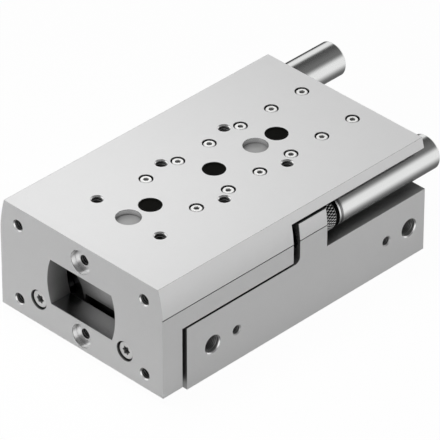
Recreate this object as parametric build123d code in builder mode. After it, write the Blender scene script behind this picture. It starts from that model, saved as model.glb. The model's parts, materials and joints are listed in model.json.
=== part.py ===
from build123d import *
import math
import os

# Pneumatic slide table: two pistons drive the table along a caged-ball guide, and a
# shock absorber takes up each end of the stroke.
# Origin: centre of the housing's mounting face. +Z is up, the table advances towards -Y,
# and +X is the side with the air ports.
# Stations, whose names end in _at, are distances behind the yoke's front face.
# All sizes are millimetres.

# Main sizes
slide_width = 103.0
yoke_thickness = 12.0
yoke_gap = 3.0
yoke_bottom = 3.0
housing_length = 152.5
housing_inset = 0.2
housing_top = 33.3

# Flanks: plumb up to the crease, then one shallow arc up to the narrower top face
flank_inset = 2.75
crease_z = 44.75
crease_groove = 0.5
flank_radius = 70.0

# Slide
spine_thickness = 10.2
spine_gap = 1.0
skirt_gap = 1.4
skirt_wall = 8.0
left_skirt_gap = 3.8
right_lug_length = 18.0

# Yoke window: flat above and below, arcs at the sides
window_half_width = 21.6
window_bottom = 18.2
window_top = 42.4
window_arc = 34.0

# Threads and centring recesses, as the radii of their walls
m6_core = 2.5
m6_mouth = 3.1
m6_depth = 9.0
m5_core = 2.1
m5_mouth = 2.7
m5_depth = 8.5
centring_radius = 6.0
centring_depth = 2.6
pattern_pitch = 40.0
top_thread_x = 20.0
top_thread_at = 29.7
front_thread_x = 40.0
front_thread_z = 10.5

# Access holes on the centre line, for the screws that hold the housing from above
access_at = 43.2
access_radius = 5.5
access_count = 3
fixing_radius = 3.3
fixing_seat_z = 20.0
plug_thickness = 2.5
plug_height = 6.0
plug_wall = 1.2

# Cylinders
bore_x = 27.5
bore_z = 16.4
bore_radius = 12.5
seat_step = 1.0
rod_radius = 5.0
rod_clearance = 0.05
rod_thread_depth = 16.0

# Pistons
piston_front_room = 11.0
piston_length = 52.0
piston_rear_room = 10.3
piston_clearance = 0.3
seal_clearance = 0.05
piston_core = 4.0
piston_nut_length = 6.0
piston_nut_radius = 6.5
piston_nut_room = 1.0
piston_seal_inset = 3.0
piston_seal_length = 3.4
piston_seal_depth = 2.8
magnet_at = 14.0
magnet_length = 6.0
magnet_depth = 3.4
magnet_clearance = 0.3
wear_ring_at = 25.0
wear_ring_length = 8.0
wear_ring_depth = 1.2

# Front bearing caps, rear end caps and the rings that hold them
cap_recess = 3.0
front_flange_length = 7.0
nose_length = 12.0
nose_gap = 2.1
cap_lip_length = 1.2
cap_lip_clearance = 0.4
rod_seal_width = 3.0
rod_seal_length = 3.4
bush_wall = 2.0
rear_cap_length = 4.2
puller_radius = 1.65
puller_depth = 2.5
o_ring_thickness = 1.8
o_ring_room = 0.4
circlip_thickness = 1.2
circlip_reach = 1.9
circlip_groove_depth = 0.8
circlip_gap_angle = 50.0
circlip_ear_radius = 1.7
circlip_ear_hole = 0.7

# Air ports and the small threads beside them
port_radius = 4.3
port_mouth = 4.9
port_depth = 9.0
port_passage_radius = 3.0
port_passage_depth = 13.0
cross_passage_radius = 2.0
front_port_inset = 16.0
rear_port_inset = 10.1
front_side_thread_inset = 31.1
rear_side_thread_inset = 25.0

# Pocket between the bores, and sensor slots on the side without ports
pocket_wall = 1.1
pocket_bottom = 6.0
pocket_top = 19.4
pocket_depth = 5.0
slot_mouth = 3.2
slot_radius = 2.3
slot_depth = 2.9
slot_low_z = 9.0
slot_high_z = 24.0

# Stop blocks that rise from the housing
block_top_wall = 1.05
block_inner_wall = 2.4
right_block_at = 86.0
left_block_at = 41.3
left_block_length = 16.1
block_fillet = 3.0

# Guide rail on the housing
rail_half_width = 9.5
rail_height = 11.4
rail_setback = 2.0
rail_screw_count = 4
rail_screw_radius = 2.5
rail_screw_head_radius = 4.25
rail_screw_head = 5.0
rail_screw_recess = 5.2
rail_screw_depth = 18.0
rail_screw_hex = 2.0
rail_screw_hex_depth = 2.5

# Rail under the slide, balls and cages
rail_side_gap = 2.6
slide_rail_footroom = 2.2
slide_rail_headroom = 0.5
slide_rail_web = 4.8
slide_rail_margin = 6.7
ball_radius = 2.5
ball_clearance = 0.1
ball_height = 6.2
ball_count = 10
ball_pitch = 7.0
cage_thickness = 1.6
cage_height = 8.0
cage_end_margin = 4.5
cage_setback = 14.0

# Screws through the slide into its rail
table_screw_x = 16.0
table_screw_at = 56.2
table_screw_pitch = 20.0
table_screw_radius = 1.5
table_screw_head_radius = 2.75
table_screw_head = 2.4
table_screw_seat = 2.7
table_screw_head_gap = 0.65
table_screw_reach = 15.5
table_screw_hex = 1.25
table_screw_hex_depth = 1.3

# Screws through the yoke into the piston rods
yoke_screw_radius = 3.0
yoke_screw_head_radius = 4.4
yoke_screw_head = 5.0
yoke_screw_seat = 5.9
yoke_screw_head_gap = 0.6
yoke_screw_reach = 20.0
lobe_circle_radius = 1.75
lobe_radius = 0.55
lobe_depth = 2.6
shank_clearance = 0.2
head_chamfer = 0.3

# Shock absorbers, measured back from the front face of the block or lug that carries them
carrier_length = 17.4
absorber_inset = 9.6
absorber_footroom = 2.2
absorber_headroom = 1.95
absorber_radius = 8.8
absorber_thread_radius = 8.0
absorber_tube_radius = 6.9
absorber_length = 92.7
absorber_grip_length = 7.0
absorber_ring_length = 2.0
absorber_ring_radius = 8.2
sleeve_collar = 0.9
sleeve_groove = 1.0
sleeve_groove_depth = 0.6
sleeve_lead = 0.9
sleeve_end_chamfer = 1.0
tube_setback = 1.5
absorber_stroke = 12.0
absorber_contact_gap = 4.3
stop_clearance = 0.1
damper_bore = 4.5
damper_front_wall = 2.0
damper_seal_length = 3.0
damper_bore_end = 48.0
damper_rod_radius = 2.5
damper_piston_length = 5.0
damper_piston_margin = 0.5
damper_running = 0.05
tip_radius = 4.0
tip_length = 3.6
tip_spigot_radius = 1.5
tip_spigot_length = 2.4
spring_wire = 0.45
spring_turns = 8
spring_end_gap = 0.1
adjuster_radius = 3.5
adjuster_length = 12.0
adjuster_recess = 1.0
adjuster_slot = 1.2
adjuster_slot_depth = 1.5

# Places worked out from the sizes above
top_width = slide_width - 2 * flank_inset
absorber_x = slide_width / 2 - absorber_inset
absorber_z = housing_top + absorber_footroom + absorber_radius
plate_edge_z = absorber_z + absorber_radius + absorber_headroom
block_top = absorber_z + absorber_thread_radius + block_top_wall
block_inner_x = absorber_x - absorber_thread_radius - block_inner_wall
spine_width = 2 * (block_inner_x - spine_gap)
rail_top = housing_top + rail_height
slide_rail_web_z = rail_top + slide_rail_headroom
spine_bottom = slide_rail_web_z + slide_rail_web
table_height = spine_bottom + spine_thickness
skirt_bottom = housing_top + skirt_gap
right_skirt_end_at = right_block_at - absorber_contact_gap
left_skirt_end_at = left_block_at - left_skirt_gap
seat_radius = bore_radius + seat_step
nose_radius = bore_radius - nose_gap
rod_seal_radius = rod_radius + rod_seal_width
bush_radius = rod_radius + bush_wall
circlip_inner = seat_radius - circlip_reach
circlip_radius = seat_radius + circlip_groove_depth
pocket_half_width = bore_x - seat_radius - pocket_wall
slide_rail_leg_x = rail_half_width + rail_side_gap
slide_rail_half_width = 2 * table_screw_x - slide_rail_leg_x
slide_rail_bottom = housing_top + slide_rail_footroom
housing_at = yoke_thickness + yoke_gap
front_cap_at = housing_at + cap_recess
bush_at = front_cap_at + cap_lip_length + rod_seal_length
nose_end_at = front_cap_at + front_flange_length + nose_length
slide_length = housing_at + housing_length
rear_cap_end_at = slide_length - cap_recess
rear_seat_at = rear_cap_end_at - rear_cap_length
piston_end_at = rear_seat_at - piston_rear_room
piston_at = piston_end_at - piston_length
stroke = piston_at - piston_front_room - nose_end_at
front_face_y = -housing_length / 2 - housing_at
housing_half_width = slide_width / 2 - housing_inset
front_port_at = housing_at + front_port_inset
rear_port_at = slide_length - rear_port_inset
front_side_thread_at = housing_at + front_side_thread_inset
rear_side_thread_at = slide_length - rear_side_thread_inset
table_screw_row = (-table_screw_x, table_screw_x)
table_screw_count = int((slide_length - table_screw_at - slide_rail_margin) / table_screw_pitch) + 1
table_screw_stations = [table_screw_at + table_screw_pitch * i for i in range(table_screw_count)]
slide_rail_at = table_screw_stations[0] - slide_rail_margin
slide_rail_end_at = table_screw_stations[-1] + slide_rail_margin
ball_x = (rail_half_width + slide_rail_leg_x) / 2
ball_z = housing_top + ball_height
cage_at = slide_rail_at + cage_setback
rail_seat_z = rail_top - rail_screw_recess
table_seat_z = table_height - table_screw_seat
left_lug_at = left_block_at + left_block_length + absorber_contact_gap + stroke
damper_piston_at = damper_front_wall + damper_seal_length + damper_piston_margin + absorber_stroke
bores = (-bore_x, bore_x)
access_stations = [access_at + pattern_pitch * i for i in range(access_count)]
rail_screw_stations = [access_at + pattern_pitch * (i - 0.5) for i in range(rail_screw_count)]
base_centring_stations = [access_at + pattern_pitch * (i + 0.5) for i in range(access_count - 1)]


def station(distance):
    """Y of a station behind the yoke's front face."""
    return front_face_y + distance


def across(distance):
    """Section plane at a station: X to the right, Z up, facing the front."""
    return Plane.XZ.offset(-station(distance))


def bar(low, high, mode=Mode.ADD):
    """A block between two corners, each given as x, station and z."""
    middle = ((low[0] + high[0]) / 2, station((low[1] + high[1]) / 2), (low[2] + high[2]) / 2)
    with Locations(middle):
        Box(high[0] - low[0], high[1] - low[1], high[2] - low[2], mode=mode)


def turn(axis_x, axis_z, outline, mode=Mode.ADD):
    """Turns an outline of radius and station corners about an axis along Y."""
    with BuildSketch(Plane.XY.offset(axis_z)) as section:
        with BuildLine():
            Polyline(*[(axis_x + radius, station(at)) for radius, at in outline], close=True)
        make_face()
    revolve(section.sketch, axis=Axis((axis_x, 0, axis_z), (0, 1, 0)), mode=mode)


def tube(axis_x, axis_z, outer, inner, start_at, end_at, mode=Mode.ADD):
    """A plain tube along Y, or a rod where the inner radius is zero."""
    turn(axis_x, axis_z, [(inner, start_at), (outer, start_at), (outer, end_at), (inner, end_at)], mode)


def shaft_down(x, distance, top_z, radius, length, mode=Mode.ADD):
    """An upright cylinder that reaches down from top_z."""
    with Locations((x, station(distance), top_z)):
        Cylinder(radius, length, align=(Align.CENTER, Align.CENTER, Align.MAX), mode=mode)


def hex_socket(x, distance, top_z, apothem, depth):
    """A hexagon socket cut down into a screw head."""
    with BuildSketch(Plane.XY.offset(top_z)) as section:
        with Locations((x, station(distance))):
            RegularPolygon(apothem, 6, major_radius=False)
    extrude(section.sketch, amount=-depth, mode=Mode.SUBTRACT)


def flank_point(z, inset=0.0):
    """Point on the curved part of the +X flank at height z."""
    foot = (slide_width / 2, crease_z)
    head = (top_width / 2, table_height)
    half_chord = math.dist(foot, head) / 2
    to_centre = math.sqrt(flank_radius**2 - half_chord**2) / (2 * half_chord)
    centre_x = (foot[0] + head[0]) / 2 - (head[1] - foot[1]) * to_centre
    centre_z = (foot[1] + head[1]) / 2 - (foot[0] - head[0]) * to_centre
    return (centre_x + math.sqrt(flank_radius**2 - (z - centre_z) ** 2) - inset, z)


def flank_section(side, inner_x, low_z, high_z, inset=0.0):
    """Face between a plumb inner line and the flank on one side, from low_z up to high_z."""
    wall_x = slide_width / 2 - inset
    arc_low = max(low_z, crease_z + crease_groove / 2)
    foot = [(inner_x, high_z), (inner_x, low_z)]
    if low_z < crease_z:
        foot += [(wall_x, low_z), (wall_x, crease_z - crease_groove / 2),
                 (wall_x - crease_groove, crease_z)]
    foot.append(flank_point(arc_low, inset))
    arc = [flank_point(z, inset) for z in (arc_low, (arc_low + high_z) / 2, high_z)]
    with BuildLine() as rim:
        Polyline(*[(side * x, z) for x, z in foot])
        ThreePointArc(*[(side * x, z) for x, z in arc])
        Line((side * arc[-1][0], high_z), (side * inner_x, high_z))
    make_face(rim.edges())


def flank_run(side, inner_x, low_z, high_z, start_at, end_at, inset=0.0):
    """A solid with the flank section on one side, between two stations."""
    with BuildSketch(across(start_at)) as section:
        flank_section(side, inner_x, low_z, high_z, inset)
    extrude(section.sketch, amount=start_at - end_at)


# Slide: top plate with a thick spine, yoke plate, skirts and lugs in one piece
with BuildPart() as slide:
    for side in (-1, 1):
        flank_run(side, 0, plate_edge_z, table_height, 0, slide_length)
        flank_run(side, 0, yoke_bottom, table_height, 0, yoke_thickness)
    bar((-spine_width / 2, 0, spine_bottom), (spine_width / 2, slide_length, table_height))
    skirt_x = slide_width / 2 - skirt_wall
    flank_run(1, skirt_x, skirt_bottom, table_height, yoke_thickness, right_skirt_end_at)
    flank_run(-1, skirt_x, skirt_bottom, table_height, yoke_thickness, left_skirt_end_at)
    lug_x = spine_width / 2
    right_lug_at = right_skirt_end_at - right_lug_length
    flank_run(1, lug_x, skirt_bottom, table_height, right_lug_at, right_skirt_end_at)
    flank_run(-1, lug_x, skirt_bottom, table_height, left_lug_at, left_lug_at + carrier_length)
    tube(-absorber_x, absorber_z, absorber_thread_radius, 0, left_lug_at, left_lug_at + carrier_length,
         Mode.SUBTRACT)

    window_middle = (window_bottom + window_top) / 2
    window_corner = window_half_width - window_arc
    window_corner += math.sqrt(window_arc**2 - ((window_top - window_bottom) / 2) ** 2)
    with BuildSketch(across(0)):
        with BuildLine():
            for side in (-1, 1):
                ThreePointArc((side * window_corner, window_bottom),
                              (side * window_half_width, window_middle),
                              (side * window_corner, window_top))
            Line((-window_corner, window_bottom), (window_corner, window_bottom))
            Line((-window_corner, window_top), (window_corner, window_top))
        make_face()
    extrude(amount=-yoke_thickness, mode=Mode.SUBTRACT)

    with Locations(across(0)):
        with Locations((0, front_thread_z + pattern_pitch / 2)):
            with GridLocations(2 * front_thread_x, pattern_pitch, 2, 2):
                CounterSinkHole(m6_core, m6_mouth, depth=m6_depth, counter_sink_angle=90)
            with GridLocations(0, pattern_pitch, 1, 2):
                CounterBoreHole(m6_core, centring_radius, centring_depth, depth=m6_depth)
        yoke_seat_radius = yoke_screw_head_radius + yoke_screw_head_gap
        with Locations(*[(x, bore_z) for x in bores]):
            CounterBoreHole(yoke_screw_radius + shank_clearance, yoke_seat_radius, yoke_screw_seat,
                            depth=yoke_thickness)

    with Locations(Plane.XY.offset(table_height)):
        with Locations((0, station(top_thread_at + pattern_pitch))):
            with GridLocations(2 * top_thread_x, pattern_pitch, 2, 3):
                CounterSinkHole(m6_core, m6_mouth, depth=m6_depth, counter_sink_angle=90)
            with GridLocations(0, 2 * pattern_pitch, 1, 2):
                Hole(centring_radius, depth=centring_depth)
        with Locations(*[(0, station(at)) for at in access_stations]):
            Hole(access_radius, depth=spine_thickness)
        table_seat_radius = table_screw_head_radius + table_screw_head_gap
        with Locations(*[(x, station(at)) for at in table_screw_stations for x in table_screw_row]):
            CounterBoreHole(table_screw_radius + shank_clearance, table_seat_radius, table_screw_seat,
                            depth=spine_thickness)

# Housing: base with both cylinder bores, and a stop block on each side
with BuildPart() as housing:
    bar((-housing_half_width, housing_at, 0), (housing_half_width, slide_length, housing_top))
    flank_run(1, block_inner_x, housing_top, block_top, right_block_at, right_block_at + carrier_length,
              housing_inset)
    flank_run(-1, block_inner_x, housing_top, block_top, left_block_at, left_block_at + left_block_length,
              housing_inset)
    front_y = station(right_block_at)
    block_foot = housing.edges().filter_by(Axis.X).filter_by_position(Axis.Y, front_y, front_y)
    fillet(block_foot.filter_by_position(Axis.Z, housing_top, housing_top), block_fillet)
    tube(absorber_x, absorber_z, absorber_thread_radius, 0, right_block_at, right_block_at + carrier_length,
         Mode.SUBTRACT)

    front_seat_end_at = front_cap_at + front_flange_length
    for x in bores:
        tube(x, bore_z, bore_radius, 0, housing_at, slide_length, Mode.SUBTRACT)
        tube(x, bore_z, seat_radius, 0, housing_at, front_seat_end_at, Mode.SUBTRACT)
        tube(x, bore_z, seat_radius, 0, rear_seat_at, slide_length, Mode.SUBTRACT)
        tube(x, bore_z, circlip_radius, 0, front_cap_at - circlip_thickness, front_cap_at, Mode.SUBTRACT)
        tube(x, bore_z, circlip_radius, 0, rear_cap_end_at, rear_cap_end_at + circlip_thickness,
             Mode.SUBTRACT)

    with Locations(Plane.YZ.offset(housing_half_width)):
        with Locations(*[(station(at), bore_z) for at in (front_port_at, rear_port_at)]):
            CounterSinkHole(port_radius, port_mouth, depth=port_depth, counter_sink_angle=90)
            Hole(port_passage_radius, depth=port_passage_depth)
        with Locations(*[(station(at), bore_z) for at in (front_side_thread_at, rear_side_thread_at)]):
            CounterSinkHole(m5_core, m5_mouth, depth=m5_depth, counter_sink_angle=90)
    with Locations(*[(0, station(at), bore_z) for at in (front_port_at, rear_port_at)]):
        Cylinder(cross_passage_radius, 2 * bore_x, rotation=(0, 90, 0), mode=Mode.SUBTRACT)

    for at in access_stations:
        shaft_down(0, at, housing_top, access_radius, housing_top - fixing_seat_z, Mode.SUBTRACT)
        shaft_down(0, at, housing_top, fixing_radius, housing_top, Mode.SUBTRACT)
    for at in rail_screw_stations:
        shaft_down(0, at, housing_top, rail_screw_radius, rail_screw_depth + housing_top - rail_seat_z,
                   Mode.SUBTRACT)
    for at in base_centring_stations:
        shaft_down(0, at, centring_depth, centring_radius, centring_depth, Mode.SUBTRACT)

    bar((-pocket_half_width, housing_at, pocket_bottom),
        (pocket_half_width, housing_at + pocket_depth, pocket_top), Mode.SUBTRACT)
    for z in (slot_low_z, slot_high_z):
        slot_x = slot_depth - housing_half_width
        tube(slot_x, z, slot_radius, 0, housing_at, slide_length, Mode.SUBTRACT)
        bar((-housing_half_width, housing_at, z - slot_mouth / 2),
            (slot_x, slide_length, z + slot_mouth / 2), Mode.SUBTRACT)

# Guide rail: fixed along the middle of the housing, with a ball groove on each side
rail_at = housing_at + rail_setback
rail_end_at = slide_length - rail_setback
groove_radius = ball_radius + ball_clearance
with BuildPart() as guide_rail:
    bar((-rail_half_width, rail_at, housing_top), (rail_half_width, rail_end_at, rail_top))
    for side in (-1, 1):
        tube(side * ball_x, ball_z, groove_radius, 0, rail_at, rail_end_at, Mode.SUBTRACT)
    for at in access_stations:
        shaft_down(0, at, rail_top, access_radius, rail_top - housing_top, Mode.SUBTRACT)
    with Locations(Plane.XY.offset(rail_top)):
        with Locations(*[(0, station(at)) for at in rail_screw_stations]):
            CounterBoreHole(rail_screw_radius + shank_clearance, rail_screw_head_radius + shank_clearance,
                            rail_screw_recess, depth=rail_top - housing_top)

with BuildPart() as guide_rail_screws:
    for at in rail_screw_stations:
        shaft_down(0, at, rail_seat_z + rail_screw_head, rail_screw_head_radius, rail_screw_head)
        shaft_down(0, at, rail_seat_z, rail_screw_radius, rail_screw_depth)
        hex_socket(0, at, rail_seat_z + rail_screw_head, rail_screw_hex, rail_screw_hex_depth)

# Slide rail: a channel under the slide's spine, with a ball groove in each leg
with BuildPart() as slide_rail:
    bar((-slide_rail_half_width, slide_rail_at, slide_rail_bottom),
        (slide_rail_half_width, slide_rail_end_at, spine_bottom))
    bar((-slide_rail_leg_x, slide_rail_at, slide_rail_bottom),
        (slide_rail_leg_x, slide_rail_end_at, slide_rail_web_z), Mode.SUBTRACT)
    for side in (-1, 1):
        tube(side * ball_x, ball_z, groove_radius, 0, slide_rail_at, slide_rail_end_at, Mode.SUBTRACT)
    for at in access_stations[1:]:
        shaft_down(0, at, spine_bottom, access_radius, slide_rail_web, Mode.SUBTRACT)
    thread_depth = table_screw_reach - (table_seat_z - spine_bottom)
    for at in table_screw_stations:
        for x in table_screw_row:
            shaft_down(x, at, spine_bottom, table_screw_radius, thread_depth, Mode.SUBTRACT)

with BuildPart() as slide_rail_screws:
    head_z = table_seat_z + table_screw_head
    for at in table_screw_stations:
        for x in table_screw_row:
            shaft_down(x, at, head_z, table_screw_head_radius, table_screw_head)
            shaft_down(x, at, table_seat_z, table_screw_radius, table_screw_reach)
            hex_socket(x, at, head_z, table_screw_hex, table_screw_hex_depth)
    rims = slide_rail_screws.edges().filter_by(GeomType.CIRCLE).group_by(Axis.Z)[-1]
    chamfer(rims, head_chamfer)

# Ball cages: a plate beside the guide rail on each side, with its row of balls
cage_length = ball_pitch * (ball_count - 1) + 2 * cage_end_margin
ball_stations = [cage_at + cage_end_margin + ball_pitch * i for i in range(ball_count)]


def cage_plate(side):
    """Cage plate on one side, with a round window for each ball."""
    bar((side * ball_x - cage_thickness / 2, cage_at, ball_z - cage_height / 2),
        (side * ball_x + cage_thickness / 2, cage_at + cage_length, ball_z + cage_height / 2))
    with Locations(*[(side * ball_x, station(at), ball_z) for at in ball_stations]):
        Cylinder(groove_radius, 2 * cage_thickness, rotation=(0, 90, 0), mode=Mode.SUBTRACT)


def ball_row(side):
    """Row of balls that run in the cage on one side."""
    with Locations(*[(side * ball_x, station(at), ball_z) for at in ball_stations]):
        Sphere(ball_radius)


with BuildPart() as ball_cage_left:
    cage_plate(-1)

with BuildPart() as ball_cage_right:
    cage_plate(1)

with BuildPart() as guide_balls_left:
    ball_row(-1)

with BuildPart() as guide_balls_right:
    ball_row(1)

# Access hole plugs: black caps, flush with the slide's top face
with BuildPart() as access_hole_plugs:
    for at in access_stations:
        shaft_down(0, at, table_height, access_radius, plug_height)
        shaft_down(0, at, table_height - plug_thickness, access_radius - plug_wall,
                   plug_height - plug_thickness, Mode.SUBTRACT)

# Yoke screws: six-lobe screws that hold the yoke to the piston rods
yoke_head_at = yoke_screw_seat - yoke_screw_head
with BuildPart() as yoke_screws:
    for x in bores:
        turn(x, bore_z, [(0, yoke_head_at), (yoke_screw_head_radius - head_chamfer, yoke_head_at),
                         (yoke_screw_head_radius, yoke_head_at + head_chamfer),
                         (yoke_screw_head_radius, yoke_screw_seat), (yoke_screw_radius, yoke_screw_seat),
                         (yoke_screw_radius, yoke_screw_seat + yoke_screw_reach),
                         (0, yoke_screw_seat + yoke_screw_reach)])
    with BuildSketch(across(yoke_head_at)):
        with Locations(*[(x, bore_z) for x in bores]):
            Circle(lobe_circle_radius)
            with PolarLocations(lobe_circle_radius, 6):
                Circle(lobe_radius)
    extrude(amount=-lobe_depth, mode=Mode.SUBTRACT)

# Piston rods: from the yoke back through the pistons
with BuildPart() as piston_rods:
    for x in bores:
        tube(x, bore_z, rod_radius, 0, yoke_thickness, piston_at)
        tube(x, bore_z, piston_core, 0, piston_at, piston_end_at)
        tube(x, bore_z, yoke_screw_radius, 0, yoke_thickness, yoke_thickness + rod_thread_depth,
             Mode.SUBTRACT)

# Pistons: grooved for a seal near each end, a magnet and a wear ring
piston_radius = bore_radius - piston_clearance
rear_seal_at = piston_end_at - piston_nut_length - piston_seal_inset - piston_seal_length
piston_seal_stations = (piston_at + piston_seal_inset, rear_seal_at)
with BuildPart() as pistons:
    for x in bores:
        tube(x, bore_z, piston_radius, piston_core, piston_at, piston_end_at)
        tube(x, bore_z, piston_nut_radius + piston_nut_room, piston_core, piston_end_at - piston_nut_length,
             piston_end_at, Mode.SUBTRACT)
        for at in piston_seal_stations:
            tube(x, bore_z, bore_radius, piston_radius - piston_seal_depth, at, at + piston_seal_length,
                 Mode.SUBTRACT)
        tube(x, bore_z, bore_radius, piston_radius - magnet_depth, piston_at + magnet_at,
             piston_at + magnet_at + magnet_length, Mode.SUBTRACT)
        tube(x, bore_z, bore_radius, piston_radius - wear_ring_depth, piston_at + wear_ring_at,
             piston_at + wear_ring_at + wear_ring_length, Mode.SUBTRACT)

with BuildPart() as piston_nuts:
    with BuildSketch(across(piston_end_at)):
        with Locations(*[(x, bore_z) for x in bores]):
            RegularPolygon(piston_nut_radius, 6)
            Circle(piston_core, mode=Mode.SUBTRACT)
    extrude(amount=piston_nut_length)

with BuildPart() as piston_seals:
    for x in bores:
        for at in piston_seal_stations:
            tube(x, bore_z, bore_radius - seal_clearance, piston_radius - piston_seal_depth, at,
                 at + piston_seal_length)

with BuildPart() as piston_magnets:
    for x in bores:
        tube(x, bore_z, piston_radius - magnet_clearance, piston_radius - magnet_depth,
             piston_at + magnet_at, piston_at + magnet_at + magnet_length)

with BuildPart() as piston_wear_rings:
    for x in bores:
        tube(x, bore_z, bore_radius - seal_clearance, piston_radius - wear_ring_depth,
             piston_at + wear_ring_at, piston_at + wear_ring_at + wear_ring_length)

# Front bearing caps: flange with an O-ring groove, and a nose that holds the rod's bush
flange_end_at = front_cap_at + front_flange_length
front_o_ring_at = (front_cap_at + flange_end_at) / 2
groove_half = (o_ring_thickness + o_ring_room) / 2
with BuildPart() as front_bearing_caps:
    for x in bores:
        tube(x, bore_z, seat_radius, rod_radius + cap_lip_clearance, front_cap_at, flange_end_at)
        tube(x, bore_z, nose_radius, rod_radius + cap_lip_clearance, flange_end_at, nose_end_at)
        tube(x, bore_z, rod_seal_radius, 0, front_cap_at + cap_lip_length, bush_at, Mode.SUBTRACT)
        tube(x, bore_z, bush_radius, 0, bush_at, nose_end_at, Mode.SUBTRACT)
        tube(x, bore_z, seat_radius, seat_radius - o_ring_thickness, front_o_ring_at - groove_half,
             front_o_ring_at + groove_half, Mode.SUBTRACT)

with BuildPart() as rod_seals:
    for x in bores:
        tube(x, bore_z, rod_seal_radius, rod_radius + rod_clearance, front_cap_at + cap_lip_length, bush_at)

with BuildPart() as rod_bushes:
    for x in bores:
        tube(x, bore_z, bush_radius, rod_radius + rod_clearance, bush_at, nose_end_at)

# Rear end caps: plain discs with an O-ring groove and a thread for the puller
rear_o_ring_at = rear_cap_end_at - rear_cap_length / 2
with BuildPart() as rear_end_caps:
    for x in bores:
        tube(x, bore_z, seat_radius, 0, rear_seat_at, rear_cap_end_at)
        tube(x, bore_z, seat_radius, seat_radius - o_ring_thickness, rear_o_ring_at - groove_half,
             rear_o_ring_at + groove_half, Mode.SUBTRACT)
        tube(x, bore_z, puller_radius, 0, rear_cap_end_at - puller_depth, rear_cap_end_at, Mode.SUBTRACT)


def o_rings(at):
    """An O-ring in each cylinder's cap groove."""
    with BuildSketch() as section:
        with Locations(*[(x + seat_radius - o_ring_thickness / 2, station(at)) for x in bores]):
            Circle(o_ring_thickness / 2)
    for x, disc in zip(bores, section.sketch.moved(Location((0, 0, bore_z))).faces().sort_by(Axis.X)):
        revolve(disc, axis=Axis((x, 0, bore_z), (0, 1, 0)))


with BuildPart() as front_o_rings:
    o_rings(front_o_ring_at)

with BuildPart() as rear_o_rings:
    o_rings(rear_o_ring_at)


def circlips(start_at):
    """Retaining rings for both bores: open at the bottom, with an eared end on each side."""
    ring_middle = (circlip_inner + circlip_radius) / 2
    half_gap = math.radians(circlip_gap_angle / 2)
    gap_x = 2 * circlip_radius * math.sin(half_gap)
    gap_z = -2 * circlip_radius * math.cos(half_gap)
    ear_circle = circlip_inner + circlip_ear_radius / 2
    with BuildSketch(across(start_at)) as section:
        with Locations(*[(x, bore_z) for x in bores]):
            Circle(circlip_radius)
            Circle(circlip_inner, mode=Mode.SUBTRACT)
            Polygon((0, 0), (gap_x, gap_z), (-gap_x, gap_z), align=None, mode=Mode.SUBTRACT)
        for x in bores:
            for side in (-1, 1):
                ear = (x + side * ear_circle * math.sin(half_gap), bore_z - ear_circle * math.cos(half_gap))
                with Locations(ear):
                    Circle(circlip_ear_radius)
                    Circle(circlip_ear_hole, mode=Mode.SUBTRACT)
    extrude(section.sketch, amount=-circlip_thickness)


with BuildPart() as front_circlips:
    circlips(front_cap_at - circlip_thickness)

with BuildPart() as rear_circlips:
    circlips(rear_cap_end_at)

# Shock absorbers: the right one is screwed into the housing's block and meets the slide's
# skirt, the left one is screwed into the slide's lug and meets the housing's block
grip_end = carrier_length + absorber_grip_length
sleeve_start = grip_end + absorber_ring_length
tube_end = absorber_length - tube_setback
adjuster_start = tube_end - adjuster_recess - adjuster_length
tip_front = stop_clearance - absorber_contact_gap
tip_end = tip_front + tip_length
spigot_start = tip_end - tip_spigot_length


def absorber_turn(side, at, outline, mode=Mode.ADD):
    """Turns an outline about an absorber's axis, with stations counted from its carrier's face."""
    turn(side * absorber_x, absorber_z, [(radius, at + distance) for radius, distance in outline], mode)


def absorber_tube(side, at, outer, inner, start, end, mode=Mode.ADD):
    """A tube on an absorber's axis, with stations counted from its carrier's face."""
    tube(side * absorber_x, absorber_z, outer, inner, at + start, at + end, mode)


def absorber_body(side, at):
    """Threaded front, knurled grip and inner tube, bored for the damper and the adjuster."""
    absorber_turn(side, at, [(0, 0), (absorber_thread_radius, 0), (absorber_thread_radius, carrier_length),
                             (absorber_radius, carrier_length), (absorber_radius, grip_end),
                             (absorber_tube_radius, grip_end), (absorber_tube_radius, tube_end),
                             (0, tube_end)])
    absorber_tube(side, at, damper_rod_radius + damper_running, 0, 0, damper_front_wall, Mode.SUBTRACT)
    absorber_tube(side, at, damper_bore, 0, damper_front_wall, damper_bore_end, Mode.SUBTRACT)
    absorber_tube(side, at, adjuster_radius, 0, adjuster_start, tube_end, Mode.SUBTRACT)


def absorber_ring(side, at):
    """Black ring between the grip and the sleeve."""
    absorber_tube(side, at, absorber_ring_radius, absorber_tube_radius, grip_end, sleeve_start)


def absorber_sleeve(side, at):
    """Smooth sleeve with a turned collar at its front and a chamfer at its rear."""
    groove_start = sleeve_start + sleeve_collar
    groove_end = groove_start + sleeve_groove
    groove_floor = absorber_radius - sleeve_groove_depth
    absorber_turn(side, at, [(absorber_tube_radius, sleeve_start), (absorber_radius, sleeve_start),
                             (absorber_radius, groove_start), (groove_floor, groove_start),
                             (groove_floor, groove_end), (absorber_radius, groove_end + sleeve_lead),
                             (absorber_radius, absorber_length - sleeve_end_chamfer),
                             (absorber_radius - sleeve_end_chamfer, absorber_length),
                             (absorber_tube_radius, absorber_length)])


def absorber_adjuster(side, at):
    """Slotted screw in the absorber's rear end."""
    end = tube_end - adjuster_recess
    absorber_tube(side, at, adjuster_radius, 0, adjuster_start, end)
    x = side * absorber_x
    bar((x - adjuster_slot / 2, at + end - adjuster_slot_depth, absorber_z - adjuster_radius),
        (x + adjuster_slot / 2, at + end, absorber_z + adjuster_radius), Mode.SUBTRACT)


def absorber_seal(side, at):
    """Rod seal behind the absorber's front wall."""
    absorber_tube(side, at, damper_bore, damper_rod_radius + damper_running, damper_front_wall,
                  damper_front_wall + damper_seal_length)


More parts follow.
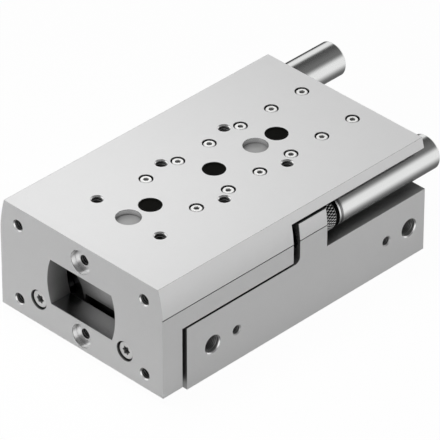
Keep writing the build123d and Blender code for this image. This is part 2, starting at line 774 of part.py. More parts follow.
def absorber_rod(side, at, extension):
    """Rod with its piston head, drawn out of the damper by the extension."""
    piston_end = damper_piston_at + damper_piston_length
    absorber_turn(side, at - extension, [
        (0, spigot_start), (tip_spigot_radius, spigot_start), (tip_spigot_radius, tip_end),
        (damper_rod_radius, tip_end), (damper_rod_radius, damper_piston_at),
        (damper_bore - damper_running, damper_piston_at), (damper_bore - damper_running, piston_end),
        (0, piston_end)])


def absorber_tip(side, at, extension):
    """Plastic cap on the end of the rod."""
    absorber_turn(side, at - extension, [
        (0, tip_front), (tip_radius, tip_front), (tip_radius, tip_end), (tip_spigot_radius, tip_end),
        (tip_spigot_radius, spigot_start), (0, spigot_start)])


def absorber_spring(side, at):
    """Return spring behind the damper's piston, at its compressed length."""
    start = damper_piston_at + damper_piston_length + spring_end_gap + spring_wire
    length = damper_bore_end - spring_wire - start
    coil_radius = damper_bore - damper_running - 2 * spring_wire
    foot = (side * absorber_x, station(at + start), absorber_z)
    with BuildLine() as coil:
        Helix(length / spring_turns, length, coil_radius, center=foot, direction=(0, 1, 0))
    with BuildSketch(Plane(origin=coil.line @ 0, z_dir=coil.line % 0)) as wire:
        Circle(spring_wire)
    sweep(wire.sketch, path=coil.line, is_frenet=True)


right_at = right_block_at
left_at = left_lug_at

with BuildPart() as absorber_body_right:
    absorber_body(1, right_at)

with BuildPart() as absorber_body_left:
    absorber_body(-1, left_at)

with BuildPart() as absorber_ring_right:
    absorber_ring(1, right_at)

with BuildPart() as absorber_ring_left:
    absorber_ring(-1, left_at)

with BuildPart() as absorber_sleeve_right:
    absorber_sleeve(1, right_at)

with BuildPart() as absorber_sleeve_left:
    absorber_sleeve(-1, left_at)

with BuildPart() as absorber_adjuster_right:
    absorber_adjuster(1, right_at)

with BuildPart() as absorber_adjuster_left:
    absorber_adjuster(-1, left_at)

with BuildPart() as absorber_seal_right:
    absorber_seal(1, right_at)

with BuildPart() as absorber_seal_left:
    absorber_seal(-1, left_at)

with BuildPart() as absorber_rod_right:
    absorber_rod(1, right_at, 0)

with BuildPart() as absorber_rod_left:
    absorber_rod(-1, left_at, absorber_stroke)

with BuildPart() as absorber_tip_right:
    absorber_tip(1, right_at, 0)

with BuildPart() as absorber_tip_left:
    absorber_tip(-1, left_at, absorber_stroke)

with BuildPart() as absorber_spring_right:
    absorber_spring(1, right_at)

with BuildPart() as absorber_spring_left:
    absorber_spring(-1, left_at)

pieces = {
    "slide": slide,
    "housing": housing,
    "guide_rail": guide_rail,
    "guide_rail_screws": guide_rail_screws,
    "slide_rail": slide_rail,
    "slide_rail_screws": slide_rail_screws,
    "ball_cage_left": ball_cage_left,
    "ball_cage_right": ball_cage_right,
    "guide_balls_left": guide_balls_left,
    "guide_balls_right": guide_balls_right,
    "access_hole_plugs": access_hole_plugs,
    "yoke_screws": yoke_screws,
    "piston_rods": piston_rods,
    "pistons": pistons,
    "piston_nuts": piston_nuts,
    "piston_seals": piston_seals,
    "piston_magnets": piston_magnets,
    "piston_wear_rings": piston_wear_rings,
    "front_bearing_caps": front_bearing_caps,
    "rod_seals": rod_seals,
    "rod_bushes": rod_bushes,
    "rear_end_caps": rear_end_caps,
    "front_o_rings": front_o_rings,
    "rear_o_rings": rear_o_rings,
    "front_circlips": front_circlips,
    "rear_circlips": rear_circlips,
    "absorber_body_right": absorber_body_right,
    "absorber_body_left": absorber_body_left,
    "absorber_ring_right": absorber_ring_right,
    "absorber_ring_left": absorber_ring_left,
    "absorber_sleeve_right": absorber_sleeve_right,
    "absorber_sleeve_left": absorber_sleeve_left,
    "absorber_adjuster_right": absorber_adjuster_right,
    "absorber_adjuster_left": absorber_adjuster_left,
    "absorber_seal_right": absorber_seal_right,
    "absorber_seal_left": absorber_seal_left,
    "absorber_rod_right": absorber_rod_right,
    "absorber_rod_left": absorber_rod_left,
    "absorber_tip_right": absorber_tip_right,
    "absorber_tip_left": absorber_tip_left,
    "absorber_spring_right": absorber_spring_right,
    "absorber_spring_left": absorber_spring_left,
}

os.makedirs("parts", exist_ok=True)
for name, piece in pieces.items():
    piece.part.label = name
    export_step(piece.part, f"parts/{name}.step")
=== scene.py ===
"""Looks of the pneumatic slide table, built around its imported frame."""
import json
import math

import bmesh
import bpy
from mathutils import Matrix, Vector


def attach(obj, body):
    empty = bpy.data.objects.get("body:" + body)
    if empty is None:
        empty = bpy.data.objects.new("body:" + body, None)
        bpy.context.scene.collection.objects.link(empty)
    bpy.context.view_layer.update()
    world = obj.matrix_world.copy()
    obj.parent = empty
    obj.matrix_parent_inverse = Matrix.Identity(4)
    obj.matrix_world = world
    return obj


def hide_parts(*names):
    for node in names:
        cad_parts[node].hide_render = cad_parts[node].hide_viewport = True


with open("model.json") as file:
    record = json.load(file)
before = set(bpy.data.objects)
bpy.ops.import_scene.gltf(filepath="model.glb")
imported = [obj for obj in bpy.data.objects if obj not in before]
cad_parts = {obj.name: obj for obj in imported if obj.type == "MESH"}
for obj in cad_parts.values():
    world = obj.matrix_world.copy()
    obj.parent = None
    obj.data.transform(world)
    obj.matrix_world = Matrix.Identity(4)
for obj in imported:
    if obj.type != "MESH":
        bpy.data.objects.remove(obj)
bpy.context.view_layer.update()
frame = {"nodes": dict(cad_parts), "record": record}

# Sizes in millimetres, as in the solids. Holes are radii, and "at" counts back from the yoke's front face.
MM = 0.001
FRONT_Y = -91.25
TOP_Z = 60.2
SIDE_X = 51.3            # the housing's right side
YOKE = 12.0              # thickness of the yoke plate
M6 = {"mouth": 3.1, "core": 2.5}
M6_THREAD = {"radius": 2.5, "crest": 2.2, "pitch": 1.0}
M6_START, M6_END = 0.9, 8.6
TOP_HOLES = [(x, FRONT_Y + at, TOP_Z) for x in (-20.0, 20.0) for at in (29.7, 69.7, 109.7)]
FRONT_HOLES = [(x, FRONT_Y, z) for x in (-40.0, 40.0) for z in (10.5, 50.5)]
TOP_RECESSES = [(0, FRONT_Y + at, TOP_Z) for at in (29.7, 109.7)]
FRONT_RECESSES = [(0, FRONT_Y, z) for z in (10.5, 50.5)]
RECESS_RADIUS = 6.0
RECESS_DEPTH = 2.6
SIDE_HOLES_Z = 16.4
PORTS_AT = (31.0, 157.4)
PORT = {"mouth": 4.9, "core": 4.3}
PORT_THREAD = {"radius": 4.3, "crest": 4.0, "pitch": 0.907}
PORT_DEPTH = 8.4
M5_AT = (46.1, 142.5)
M5_THREAD = {"radius": 2.1, "crest": 1.85, "pitch": 0.8}
M5_DEPTH = 8.0
WINDOW_HALF_FLOOR = 19.37
WINDOW_BOTTOM = 18.2
PLUGS_AT = (43.2, 83.2, 123.2)

# Shock absorbers: side, where each one starts and the body that carries it; stations count from their front
ABSORBERS = {"right": (1, 86.0, "housing"), "left": (-1, 111.7, "slide")}
ABSORBER_X = 41.9
ABSORBER_Z = 44.3
CARRIER = 17.4           # length of the block or lug that carries an absorber
GRIP_END = 24.4
SLEEVE_START = 26.4
BARREL_END = 91.2
ABSORBER_END = 92.7
CORE_RADIUS = 6.9        # inside the grip and the sleeve
BARREL_RADIUS = 8.0
SLEEVE_RADIUS = 8.8


# Materials

class Nodes:
    """Short names for building a node tree."""

    def __init__(self, tree):
        self.tree = tree
        tree.nodes.clear()

    def add(self, kind, inputs=None, **settings):
        node = self.tree.nodes.new(kind)
        for key, value in settings.items():
            setattr(node, key, value)
        for key, value in (inputs or {}).items():
            if isinstance(value, bpy.types.NodeSocket):
                self.tree.links.new(value, node.inputs[key])
            else:
                node.inputs[key].default_value = value
        return node

    def math(self, operation, a, b=0.0, c=0.0, clamp=False):
        return self.add("ShaderNodeMath", {0: a, 1: b, 2: c}, operation=operation, use_clamp=clamp).outputs[0]

    def scaled(self, vector, factor):
        return self.add("ShaderNodeVectorMath", {0: vector, "Scale": factor}, operation="SCALE").outputs[0]

    def dot(self, a, b):
        return self.add("ShaderNodeVectorMath", {0: a, 1: b}, operation="DOT_PRODUCT").outputs["Value"]

    def bevel(self, radius):
        return self.add("ShaderNodeBevel", {"Radius": radius}, samples=6).outputs[0]

    def openness(self, distance):
        """1 in the open, towards 0 where the surface is enclosed within the distance."""
        return self.add("ShaderNodeAmbientOcclusion", {"Distance": distance}, samples=8).outputs["AO"]

    def ease(self, value, start, end, low=0.0, high=1.0):
        """A smooth step from low at start to high at end; start may be the larger one."""
        if start > end:
            start, end, low, high = end, start, high, low
        return self.add("ShaderNodeMapRange", {
            "Value": value, "From Min": start, "From Max": end, "To Min": low, "To Max": high},
            interpolation_type="SMOOTHSTEP").outputs[0]


def grey(value):
    return (value, value, value, 1.0)


def edge_shade(n, rounded, darkness, hairline):
    """A factor below 1 that paints shade on edges, and a darker painted line where the top meets the flanks.
    """
    true_normal = n.add("ShaderNodeNewGeometry").outputs["Normal"]
    turned = n.dot(rounded, true_normal)
    painted_edge_shade = n.math("MULTIPLY", n.math("SUBTRACT", 1.0, turned, clamp=True), 9.0, clamp=True)
    shade = n.math("MULTIPLY_ADD", painted_edge_shade, -darkness, 1.0)
    if hairline:
        # A darker painted line, only on edges that run along Y, on their upper side
        wide_bevel = n.bevel(hairline)
        _, lengthways, upward = n.add("ShaderNodeSeparateXYZ", {0: wide_bevel}).outputs
        bent = n.dot(wide_bevel, true_normal)
        line = n.math("MULTIPLY", n.math("SUBTRACT", 1.0, bent, clamp=True), 40.0, clamp=True)
        line = n.math("MULTIPLY", line, n.math("GREATER_THAN", upward, 0.7))
        line = n.math("MULTIPLY", line, n.math("LESS_THAN", n.math("ABSOLUTE", lengthways), 0.06))
        shade = n.math("MULTIPLY", shade, n.math("MULTIPLY_ADD", line, -0.75, 1.0))
    return shade


def surface(name, colour, metallic, roughness, grain=(900, 900, 900), grain_depth=0.006, spread=0.03,
            rough_spread=0.05, edge=0.0, hairline=0.0, specular=0.5, cavity=1.2, open_air=0.78):
    """A finish with fine grain, slow unevenness of tone and gloss, painted shade on edges and painted shade in
    enclosed places.

    spread and rough_spread are the unevenness, edge the painted darkening of edges, cavity the strength of the
    painted shade in wide hollows, and open_air the openness from which a narrow gap isn't darkened."""
    material = bpy.data.materials.new(name)
    material.use_nodes = True
    n = Nodes(material.node_tree)
    place = n.add("ShaderNodeTexCoord").outputs["Object"]
    stretched = n.add("ShaderNodeMapping", {"Vector": place, "Scale": grain}).outputs[0]
    fine = n.add("ShaderNodeTexNoise", {
        "Vector": stretched, "Scale": 1.0, "Detail": 4.0, "Roughness": 0.6}).outputs[0]
    slow = n.add("ShaderNodeTexNoise", {"Vector": place, "Scale": 140.0, "Detail": 3.0}).outputs[0]
    mixed = n.math("ADD", n.math("MULTIPLY", fine, 0.6), n.math("MULTIPLY", slow, 0.4))
    tint_and_edge_shade = n.scaled(colour, n.math("MULTIPLY_ADD", mixed, 2 * spread, 1.0 - spread))
    rounded = n.bevel(0.15 * MM)
    # Painted shade on edges, and a painted dark line along the top's edges where hairline is set
    if edge:
        tint_and_edge_shade = n.scaled(tint_and_edge_shade, edge_shade(n, rounded, edge, hairline))
    # Painted shade: ambient occlusion darkens the colour, and the specular level of part metals, in hollows
    # and narrow gaps
    hollow = n.math("POWER", n.openness(20 * MM), cavity)
    gap = n.ease(n.openness(2.5 * MM), 0.15, open_air)
    painted_shade = n.math("MULTIPLY", hollow, gap)
    part_metal = 0 < metallic < 1
    bump = n.add("ShaderNodeBump", {
        "Height": fine, "Strength": 1.0, "Distance": grain_depth * MM, "Normal": rounded})
    shader = n.add("ShaderNodeBsdfPrincipled", {
        "Base Color": n.scaled(tint_and_edge_shade, painted_shade), "Metallic": metallic,
        "Roughness": n.math("MULTIPLY_ADD", fine, rough_spread, roughness - rough_spread / 2),
        "Specular IOR Level": n.math("MULTIPLY", painted_shade, specular) if part_metal else specular,
        "Normal": bump.outputs[0]})
    n.add("ShaderNodeOutputMaterial", {"Surface": shader.outputs[0]})
    return material


FINISHES = {
    # The slide takes painted shade on its edges and a painted dark line where its top meets the flanks
    "slide_aluminium": surface("milled_slide", (0.80, 0.80, 0.80), 0.50, 0.36, edge=0.28, hairline=0.3 * MM,
                               cavity=1.7),
    "housing_aluminium": surface("anodised_housing", (0.79, 0.79, 0.79), 0.50, 0.36, edge=0.28),
    "cap_aluminium": surface("turned_aluminium", (0.60, 0.60, 0.61), 0.85, 0.30, grain=(1500, 300, 1500)),
    "rail_steel": surface("ground_steel", (0.50, 0.50, 0.51), 0.9, 0.26, grain=(2600, 120, 2600)),
    "screw_steel": surface("zinc_steel", (0.96, 0.96, 0.95), 0.45, 0.30, grain=(1600, 1600, 1600), cavity=0.6,
                           open_air=0.5),
    "bearing_steel": surface("ball_steel", (0.74, 0.74, 0.75), 1.0, 0.08, grain_depth=0.001,
                             rough_spread=0.02),
    "rod_steel": surface("hard_chrome", (0.72, 0.72, 0.73), 1.0, 0.12, grain=(500, 2600, 500),
                         grain_depth=0.001),
    "sleeve_steel": surface("polished_sleeve", (0.76, 0.765, 0.76), 1.0, 0.17, grain=(220, 2800, 220),
                            grain_depth=0.0015, rough_spread=0.06, cavity=0.2, open_air=0.4),
    "grip_steel": surface("dark_steel", (0.62, 0.62, 0.615), 1.0, 0.28, grain=(1400, 1400, 1400), cavity=1.2,
                          open_air=0.5),
    "spring_steel": surface("spring_wire", (0.40, 0.40, 0.42), 0.9, 0.30),
    "ring_steel": surface("phosphated_steel", (0.10, 0.10, 0.105), 0.6, 0.50),
    "black_plastic": surface("moulded_black", (0.004, 0.004, 0.0035), 0.0, 0.45, spread=0.2, specular=0.015),
    "cage_plastic": surface("cage_plastic", (0.16, 0.27, 0.20), 0.0, 0.45, spread=0.05),
    "seal_rubber": surface("seal_rubber", (0.02, 0.02, 0.02), 0.0, 0.62, spread=0.15, specular=0.3),
    "wear_plastic": surface("wear_plastic", (0.40, 0.24, 0.13), 0.0, 0.5, spread=0.08),
    "bush_bronze": surface("sintered_bronze", (0.52, 0.34, 0.17), 0.9, 0.38, grain=(2200, 2200, 2200),
                           spread=0.10),
    "magnet_ferrite": surface("bonded_ferrite", (0.06, 0.06, 0.065), 0.1, 0.6, spread=0.15),
}

# Finishes of single cut or bored places; their lighter or darker colours are mostly painted highlights and
# painted shade
# Countersinks: bare metal, partly real and partly a painted highlight through its light colour and weak
# painted shade
BARE_METAL_HIGHLIGHT = surface("bare_countersink_highlight", (0.90, 0.90, 0.90), 0.96, 0.22, cavity=0.2, open_air=0.3)
# Painted shade: a near-black copy of the sleeve steel in the absorbers' groove
GROOVE_SHADE = surface("groove_painted_shade", (0.09, 0.09, 0.09), 1.0, 0.35, cavity=0.2, open_air=0.3)
# Painted shade: a darker copy of the sleeve steel on the groove's lead-in ring
LEAD_SHADE = surface("lead_painted_shade", (0.26, 0.26, 0.26), 1.0, 0.35, cavity=0.2, open_air=0.3)
# Painted highlight: a bright, fully metallic copy of the aluminium on the recess walls, without painted shade
BORED_WALL_HIGHLIGHT = surface("bored_wall", (0.95, 0.95, 0.95), 1.0, 0.20, cavity=0.0, open_air=0.25)
# Painted shade: a darker copy of the aluminium on the floor of the top recesses
TOP_RECESS = surface("top_recess_painted_shade", (0.42, 0.42, 0.42), 0.45, 0.30, cavity=0.8, open_air=0.6)
# Painted highlight: a brighter, fully metallic copy of the aluminium on the floor of the front recesses
FRONT_RECESS = surface("front_recess_painted_highlight", (0.92, 0.92, 0.92), 1.0, 0.28, cavity=0.3, open_air=0.3)
# Painted shade: a darker copy of the aluminium on the window's floor
WINDOW_FLOOR_SHADE = surface("window_floor_painted_shade", (0.62, 0.62, 0.62), 1.0, 0.24, cavity=0.2, open_air=0.3)

for part in frame["record"]["subparts"]:
    node = frame["nodes"][part["node"]]
    node.data.materials.clear()
    node.data.materials.append(FINISHES[part["material_slot"]])


# Meshes

def piece(name, vertices, faces, body, slot, stands_for=(), sharp=35.0, finish=None):
    """A finished mesh in millimetres that rides on a body and takes a slot's finish, or another one."""
    mesh = bpy.data.meshes.new(name)
    mesh.from_pydata([Vector(v) * MM for v in vertices], [], faces)
    work = bmesh.new()
    work.from_mesh(mesh)
    bmesh.ops.remove_doubles(work, verts=work.verts, dist=1e-7)
    bmesh.ops.recalc_face_normals(work, faces=work.faces)
    work.to_mesh(mesh)
    work.free()
    for face in mesh.polygons:
        face.use_smooth = True
    mesh.set_sharp_from_angle(angle=math.radians(sharp))
    mesh.materials.append(finish or FINISHES[slot])
    thing = bpy.data.objects.new(name, mesh)
    bpy.context.scene.collection.objects.link(thing)
    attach(thing, body)
    if stands_for:
        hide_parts(*stands_for)


def placed(axis, centre, along, radius, angle):
    """A point at a distance along an axis from a centre, and at a radius and angle around it."""
    across, up = radius * math.cos(angle), radius * math.sin(angle)
    offset = {"X": (along, across, up), "Y": (across, along, up), "Z": (across, up, along)}[axis]
    return tuple(c + o for c, o in zip(centre, offset))


def around(axis, centre, outline, steps, wobble=None):
    """Vertices and faces of a closed outline of (along, radius) turned about an axis through a centre.

    wobble(along, radius, angle) may change a radius."""
    vertices, faces = [], []
    for along, radius in outline:
        for step in range(steps):
            angle = 2 * math.pi * step / steps
            r = wobble(along, radius, angle) if wobble else radius
            vertices.append(placed(axis, centre, along, r, angle))
    rows = len(outline)
    for row in range(rows):
        following = (row + 1) % rows
        if outline[row][1] == 0 and outline[following][1] == 0:
            continue
        for step in range(steps):
            turned = (step + 1) % steps
            faces.append((row * steps + step, row * steps + turned,
                          following * steps + turned, following * steps + step))
    return vertices, faces


def triangle_wave(x):
    """0 at whole numbers, 1 half-way between them."""
    return 1.0 - abs(2.0 * (x - math.floor(x)) - 1.0)


def helix_ridge(axis, centre, start, end, radius, crest, pitch):
    """A thread's ridge inside a round hole: a triangle swept along a helix, tapered at both ends."""
    vertices, faces = [], []
    turns = (end - start) / pitch
    count = max(2, int(turns * 28))
    for i in range(count + 1):
        share = i / count
        angle = 2 * math.pi * turns * share
        along = start + (end - start) * share
        rise = min(1.0, 6 * share, 6 * (1 - share)) * (radius - crest)
        for offset, r in ((-0.36 * pitch, radius + 0.02), (0.0, radius - rise), (0.36 * pitch, radius + 0.02)):
            vertices.append(placed(axis, centre, along + offset, r, angle))
    for i in range(count):
        for k in range(3):
            a, b = 3 * i + k, 3 * i + (k + 1) % 3
            faces.append((a, b, b + 3, a + 3))
    faces.append((0, 1, 2))
    faces.append((3 * count + 2, 3 * count + 1, 3 * count))
    return vertices, faces


def merged(parts):
    """Several (vertices, faces) lists as one."""
    vertices, faces = [], []
    for some_vertices, some_faces in parts:
        base = len(vertices)
        vertices += some_vertices
        faces += [tuple(base + i for i in face) for face in some_faces]
    return vertices, faces


# In the next three, centre is on the face and inward is the sign of the way into the hole

def countersink(axis, centre, inward, mouth, core):
    """A thin ring on the cone from a hole's mouth to its core."""
    proud = 0.06
    deep = inward * (mouth - core)
    section = [(0, mouth - proud), (deep, core - proud), (deep, core + 0.3), (inward * 0.2, mouth + 0.1)]
    return around(axis, centre, section, 48)


def bored_wall(axis, centre, inward):
    """A thin band on the wall of a centring recess."""
    lip, foot = inward * 0.2, inward * (RECESS_DEPTH - 0.05)
    inner, outer = RECESS_RADIUS - 0.05, RECESS_RADIUS + 0.2
    return around(axis, centre, [(lip, inner), (foot, inner), (foot, outer), (lip, outer)], 64)


def bored_floor(axis, centre, inward, hole):
    """A thin disc on the floor of a centring recess, round a hole if there is one."""
    low, high = inward * (RECESS_DEPTH + 0.2), inward * (RECESS_DEPTH - 0.03)
    rim = RECESS_RADIUS - 0.04
    return around(axis, centre, [(low, hole), (high, hole), (high, rim), (low, rim)], 64)


# Threads in the tapped holes and ports
slide_threads = [helix_ridge("Z", place, -M6_END, -M6_START, **M6_THREAD) for place in TOP_HOLES]
slide_threads += [helix_ridge("Y", place, M6_START, M6_END, **M6_THREAD) for place in FRONT_HOLES]
slide_threads += [helix_ridge("Y", place, RECESS_DEPTH + 0.6, M6_END, **M6_THREAD) for place in FRONT_RECESSES]
piece("slide_threads", *merged(slide_threads), "slide", "slide_aluminium")
ports = [(SIDE_X, FRONT_Y + at, SIDE_HOLES_Z) for at in PORTS_AT]
m5_holes = [(SIDE_X, FRONT_Y + at, SIDE_HOLES_Z) for at in M5_AT]
housing_threads = [helix_ridge("X", place, -PORT_DEPTH, -0.8, **PORT_THREAD) for place in ports]
housing_threads += [helix_ridge("X", place, -M5_DEPTH, -0.8, **M5_THREAD) for place in m5_holes]
piece("housing_threads", *merged(housing_threads), "housing", "housing_aluminium")

# Countersinks, cut bright after anodising; their bright rings are partly that bare metal and partly a painted
# highlight, with little painted shade
slide_sinks = [countersink("Z", place, -1, **M6) for place in TOP_HOLES]
slide_sinks += [countersink("Y", place, 1, **M6) for place in FRONT_HOLES]
piece("slide_countersinks", *merged(slide_sinks), "slide", "slide_aluminium", finish=BARE_METAL_HIGHLIGHT)
housing_sinks = [countersink("X", place, -1, **PORT) for place in ports]
piece("housing_countersinks", *merged(housing_sinks), "housing", "housing_aluminium", finish=BARE_METAL_HIGHLIGHT)

# Bored centring recesses: the top floors take painted shade, the front floors and all walls painted highlights
top_floors = [bored_floor("Z", place, -1, 0) for place in TOP_RECESSES]
piece("slide_top_recess_floors", *merged(top_floors), "slide", "slide_aluminium", finish=TOP_RECESS)
front_floors = [bored_floor("Y", place, 1, 2.6) for place in FRONT_RECESSES]
piece("slide_front_recess_floors", *merged(front_floors), "slide", "slide_aluminium", finish=FRONT_RECESS)
walls = [bored_wall("Z", place, -1) for place in TOP_RECESSES]
walls += [bored_wall("Y", place, 1) for place in FRONT_RECESSES]
piece("slide_bored_walls", *merged(walls), "slide", "slide_aluminium", finish=BORED_WALL_HIGHLIGHT)

# Milled floor of the yoke's window: a thin sill whose darker colour is painted shade, while its higher gloss
# mirrors what is around it
sill_corners = ((-WINDOW_HALF_FLOOR, 0.3), (WINDOW_HALF_FLOOR, 0.3),
                (WINDOW_HALF_FLOOR, YOKE - 0.2), (-WINDOW_HALF_FLOOR, YOKE - 0.2))
sill = [(x, FRONT_Y + at, z) for z in (WINDOW_BOTTOM - 0.3, WINDOW_BOTTOM + 0.04) for x, at in sill_corners]
sill_faces = [(0, 3, 2, 1), (4, 5, 6, 7)] + [(i, (i + 1) % 4, (i + 1) % 4 + 4, i + 4) for i in range(4)]
piece("slide_window_sill", sill, sill_faces, "slide", "slide_aluminium", finish=WINDOW_FLOOR_SHADE)

# Shock absorbers: threaded barrel, hollow for the rod in front and for the adjuster at the rear
THREAD_START, THREAD_STEP, THREAD_DEPTH, THREAD_PITCH = 0.6, 0.125, 0.5, 1.0
thread_rows = int((CARRIER - THREAD_START) / THREAD_STEP)
barrel = [(0, 2.55), (0, 7.5), (0.5, BARREL_RADIUS)]
barrel += [(THREAD_START + THREAD_STEP * i, BARREL_RADIUS) for i in range(thread_rows)]
barrel += [(CARRIER, 7.9), (CARRIER, CORE_RADIUS), (BARREL_END - 0.3, CORE_RADIUS), (BARREL_END, 6.6),
           (BARREL_END, 3.5), (78.2, 3.5), (78.2, 0), (48, 0), (48, 4.5), (2, 4.5), (2, 2.55)]


def thread(along, radius, angle):
    if radius != BARREL_RADIUS:
        return radius
    return radius - THREAD_DEPTH * triangle_wave(along / THREAD_PITCH - angle / (2 * math.pi))


# Knurled grip: crossed waves over a black cylinder that paints the shade in the pits
DIAMONDS, KNURL_PITCH, KNURL_FOOT, KNURL_RISE = 36, 2.9, 8.15, 0.62
KNURLED = 8.8            # marks the grip's knurled rows
knurl_length = GRIP_END - CARRIER
knurl_rows = int(knurl_length / KNURL_PITCH * 12)
grip = [(CARRIER, CORE_RADIUS), (CARRIER, 8.35)]
grip += [(CARRIER + knurl_length * (i + 0.5) / knurl_rows, KNURLED) for i in range(knurl_rows)]
grip += [(GRIP_END, 8.35), (GRIP_END, CORE_RADIUS)]
pit_shade = [(CARRIER + 0.3, 7.0), (CARRIER + 0.3, 8.5), (GRIP_END - 0.3, 8.5), (GRIP_END - 0.3, 7.0)]


def knurl(along, radius, angle):
    if radius != KNURLED:
        return radius
    around_wave = math.cos(DIAMONDS * angle)
    along_wave = math.cos(2 * math.pi * (along - CARRIER) / KNURL_PITCH)
    taper = min(1.0, (along - CARRIER) / 0.5, (GRIP_END - along) / 0.5)
    return KNURL_FOOT + taper * KNURL_RISE * (0.5 + 0.5 * around_wave * along_wave)


# Sleeve with a collar in front, a groove behind it and a chamfered end; the rings close to both ends of its
# long part keep the shading straight
sleeve = [(SLEEVE_START + at, radius) for at, radius in (
    (0, CORE_RADIUS), (0, 8.6), (0.2, SLEEVE_RADIUS), (0.75, SLEEVE_RADIUS), (0.9, 8.65), (0.95, 8.2),
    (2.3, 8.2), (2.38, 8.66), (2.6, 8.78), (2.8, SLEEVE_RADIUS), (3.1, SLEEVE_RADIUS))]
sleeve += [(ABSORBER_END - at, radius) for at, radius in (
    (1.3, SLEEVE_RADIUS), (1.1, SLEEVE_RADIUS), (0.95, 8.72), (0.1, 7.9), (0, 7.75), (0, CORE_RADIUS))]
# The groove and its lead-in ring take darker finishes that paint the shade in them
groove = [(SLEEVE_START + at, radius) for at, radius in (
    (0.86, 7.0), (0.86, 8.5), (1.0, 8.3), (1.5, 8.3), (1.55, 7.0))]
lead = [(SLEEVE_START + at, radius) for at, radius in ((1.45, 7.0), (1.45, 8.3), (2.36, 8.62), (2.4, 7.0))]

for which, (side, at, body) in ABSORBERS.items():
    start = (side * ABSORBER_X, FRONT_Y + at, ABSORBER_Z)
    piece(f"absorber_barrel_{which}", *around("Y", start, barrel, 72, thread), body, "grip_steel",
          [f"absorber_body_{which}"], sharp=25)
    piece(f"absorber_grip_{which}", *around("Y", start, grip, DIAMONDS * 8, knurl), body, "grip_steel",
          sharp=60)
    # Painted shade: a black cylinder under the knurl darkens its pits
    piece(f"absorber_pit_shade_{which}", *around("Y", start, pit_shade, 96), body, "grip_steel",
          finish=FINISHES["black_plastic"])
    piece(f"absorber_shell_{which}", *around("Y", start, sleeve, 160), body, "sleeve_steel",
          [f"absorber_sleeve_{which}"], sharp=38)
    piece(f"absorber_groove_{which}", *around("Y", start, groove, 96), body, "ring_steel", finish=GROOVE_SHADE)
    piece(f"absorber_lead_{which}", *around("Y", start, lead, 96), body, "sleeve_steel", finish=LEAD_SHADE)

# Access hole plugs: black caps with turned rings in a shallow dish
cap = [(-6.0, 4.3), (-6.0, 5.3), (-5.6, 5.5), (-0.3, 5.5), (-0.05, 5.3), (-0.02, 4.7)]
cap += [(-0.25 - 0.12 * (i % 2), 4.4 - 0.55 * i) for i in range(8)]
cap += [(-0.3, 0), (-2.5, 0), (-2.5, 4.3)]
plugs = [around("Z", (0, FRONT_Y + at, TOP_Z), cap, 64) for at in PLUGS_AT]
piece("plug_caps", *merged(plugs), "slide", "black_plastic", ["access_hole_plugs"], sharp=28)


# Studio

FLOOR_HALF = 12.0        # metres
FLOOR_OWN = 0.03         # share of the floor's look that takes light and shadow
floor_paint = bpy.data.materials.new("floor_paint")
floor_paint.use_nodes = True
n = Nodes(floor_paint.node_tree)
ray = n.add("ShaderNodeLightPath").outputs
seen = n.math("MAXIMUM", n.math("MAXIMUM", ray["Is Camera Ray"], ray["Is Glossy Ray"]),
              ray["Is Transmission Ray"])
matt = n.add("ShaderNodeBsdfDiffuse", {"Color": grey(0.92)}).outputs[0]
glow = n.add("ShaderNodeEmission", {"Color": grey(1.0), "Strength": 1.0}).outputs[0]
share = n.math("MULTIPLY", seen, 1.0 - FLOOR_OWN)
look = n.add("ShaderNodeMixShader", {0: share, 1: matt, 2: glow}).outputs[0]
n.add("ShaderNodeOutputMaterial", {"Surface": look})
floor_mesh = bpy.data.meshes.new("floor")
floor_mesh.from_pydata([(-FLOOR_HALF, -FLOOR_HALF, 0), (FLOOR_HALF, -FLOOR_HALF, 0),
                        (FLOOR_HALF, FLOOR_HALF, 0), (-FLOOR_HALF, FLOOR_HALF, 0)], [], [(0, 1, 2, 3)])
floor_mesh.materials.append(floor_paint)
floor = bpy.data.objects.new("floor", floor_mesh)
bpy.context.scene.collection.objects.link(floor)
floor.visible_shadow = False
floor.visible_glossy = False

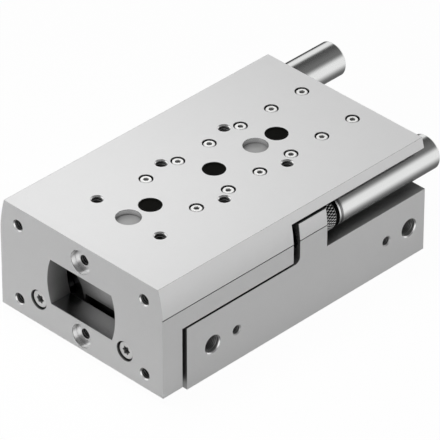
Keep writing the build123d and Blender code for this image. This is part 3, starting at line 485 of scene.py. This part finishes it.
# What metal mirrors: white walls all round, a dark ceiling that starts lower on the right, a dim floor,
# and behind on the left a floor that reaches up to the horizon
world = bpy.data.worlds.new("studio")
bpy.context.scene.world = world
world.use_nodes = True
n = Nodes(world.node_tree)
ray = n.add("ShaderNodeLightPath").outputs
backdrop = n.math("MAXIMUM", ray["Is Camera Ray"], ray["Is Transmission Ray"])
x, y, z = n.add("ShaderNodeSeparateXYZ", {0: n.add("ShaderNodeTexCoord").outputs["Generated"]}).outputs
left_ceiling = n.ease(z, 0.555, 0.71, 1.0, 0.07)
right_ceiling = n.ease(z, 0.18, 0.60, 1.0, 0.18)
ceiling = n.add("ShaderNodeMix", {0: n.ease(x, -0.4, 0.5), 2: left_ceiling, 3: right_ceiling}).outputs[0]
behind_left = n.math("MULTIPLY", n.ease(x, -0.45, -0.75), n.ease(y, 0.1, 0.45))
horizon = n.add("ShaderNodeMix", {0: behind_left, 2: 1.0, 3: n.ease(z, -0.05, 0.22, 0.06, 1.0)}).outputs[0]
room = n.math("MULTIPLY", ceiling, horizon)
mirrored = n.math("MULTIPLY", room, n.ease(z, -0.85, -0.25, 0.12, 1.0))
strength = n.math("MAXIMUM", backdrop, n.math("MULTIPLY", mirrored, ray["Is Glossy Ray"]))
strength = n.math("MAXIMUM", strength, 0.02)
sky = n.add("ShaderNodeBackground", {"Color": grey(1.0), "Strength": strength}).outputs[0]
n.add("ShaderNodeOutputWorld", {"Surface": sky})


def softbox(name, place, target, size, power):
    """A square area lamp aimed at a point, in metres."""
    lamp = bpy.data.lights.new(name, "AREA")
    lamp.shape = "SQUARE"
    lamp.size = size
    lamp.energy = power
    thing = bpy.data.objects.new(name, lamp)
    thing.location = place
    thing.rotation_mode = "QUATERNION"
    thing.rotation_quaternion = (Vector(target) - Vector(place)).to_track_quat("-Z", "Y")
    thing.visible_camera = False
    thing.visible_glossy = False
    bpy.context.scene.collection.objects.link(thing)


MIDDLE = (0, 0, 0.03)
softbox("top_softbox", (0, 0, 1.1), MIDDLE, 0.9, 3.55)
softbox("near_softbox", (-0.05, -0.09, 0.28), (-0.02, -0.06, 0.06), 0.15, 0.52)
softbox("front_softbox", (-0.25, -1.3, 0.5), MIDDLE, 0.8, 2.9)
softbox("side_softbox", (1.35, -0.1, 0.5), MIDDLE, 0.8, 2.7)
softbox("rear_softbox", (-1.0, 1.0, 0.25), MIDDLE, 0.8, 2.5)

# Camera, as solved from the photograph
camera_data = bpy.data.cameras.new("camera")
camera_data.sensor_width = 36.0
camera_data.lens = 417.14
camera_data.clip_end = 100.0
camera = bpy.data.objects.new("camera", camera_data)
bpy.context.scene.collection.objects.link(camera)
right = Vector((0.708308558, 0.705902808, 0.000460890))
up = Vector((-0.40443458, 0.40527762, 0.8198675))
turned = Matrix((right, up, right.cross(up))).transposed().to_4x4()
camera.matrix_world = Matrix.Translation((1.33226, -1.34190, 1.34879)) @ turned
bpy.context.scene.camera = camera
bpy.context.scene.view_settings.view_transform = "Standard"
